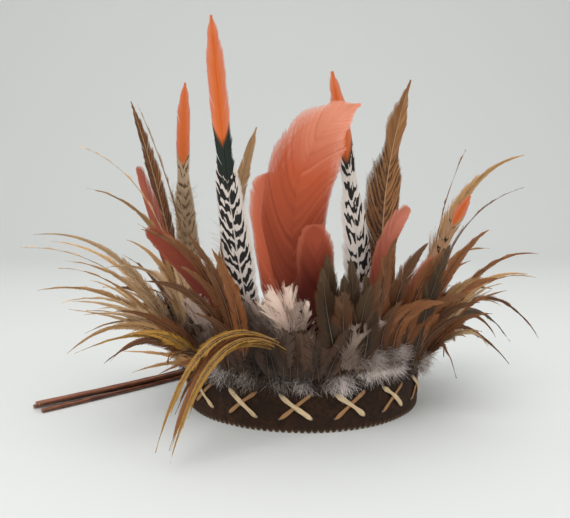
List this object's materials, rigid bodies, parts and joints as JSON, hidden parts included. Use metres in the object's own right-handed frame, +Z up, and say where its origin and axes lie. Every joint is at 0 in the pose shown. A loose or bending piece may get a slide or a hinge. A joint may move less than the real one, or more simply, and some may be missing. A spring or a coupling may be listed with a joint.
{
  "type": "feathered headdress",
  "caption": "feathered headdress of a laced dark leather band with coral, barred and brown feathers, swept hackles, a down trim and leather tie laces",
  "frame": {"origin": "centre of the feathered band's box on the surface it stands on", "axes": "+X to the wearer's left as seen from the front, +Y to the back, +Z up"},
  "size_m": [0.3878, 0.2534, 0.2701],
  "materials": {
    "band_leather": "suede-like, matt",
    "rawhide": "dry, half-matt",
    "down": "fluffy down and body feathers",
    "barred_feather": "barred feather vane with an orange tip",
    "coral_feather": "dyed goose feather vane",
    "brown_feather": "barred brown feather vane",
    "hackle": "glossy hackle barbs",
    "lace_leather": "smooth, half-matt"
  },
  "bodies": {
    "root": {"band": "band_leather", "barred_1": "barred_feather", "barred_2": "barred_feather", "barred_3": "barred_feather", "barred_4": "barred_feather", "coral_1": "coral_feather", "coral_2": "coral_feather", "coral_3": "coral_feather", "coral_4": "coral_feather", "coral_5": "coral_feather", "coral_6": "coral_feather", "coral_7": "coral_feather", "cross_stitch_01": "rawhide", "cross_stitch_02": "rawhide", "cross_stitch_03": "rawhide", "cross_stitch_04": "rawhide", "cross_stitch_05": "rawhide", "cross_stitch_06": "rawhide", "cross_stitch_07": "rawhide", "cross_stitch_08": "rawhide", "cross_stitch_09": "rawhide", "cross_stitch_10": "rawhide", "cross_stitch_11": "rawhide", "cross_stitch_12": "rawhide", "cross_stitch_13": "rawhide", "cross_stitch_14": "rawhide", "cross_stitch_15": "rawhide", "hackle_back_left": "hackle", "hackle_back_right": "hackle", "hackle_front_left": "hackle", "hackle_front_right": "hackle", "hackle_gold": "hackle", "hackle_inner_right": "hackle", "hackle_left_fan": "hackle", "hackle_left_high": "hackle", "hackle_left_low": "hackle", "hackle_right_fan": "hackle", "hackle_right_high": "hackle", "hackle_right_low": "hackle", "hackle_right_mid": "hackle", "lace_1": "lace_leather", "lace_2": "lace_leather", "lace_3": "lace_leather", "lace_4": "lace_leather", "lace_knot": "lace_leather", "pheasant_1": "brown_feather", "pheasant_2": "brown_feather", "pheasant_3": "brown_feather", "pheasant_4": "brown_feather", "trim_1": "down", "trim_2": "down", "trim_3": "down", "trim_4": "down", "trim_5": "down", "trim_6": "down"}
  },
  "joints": []
}
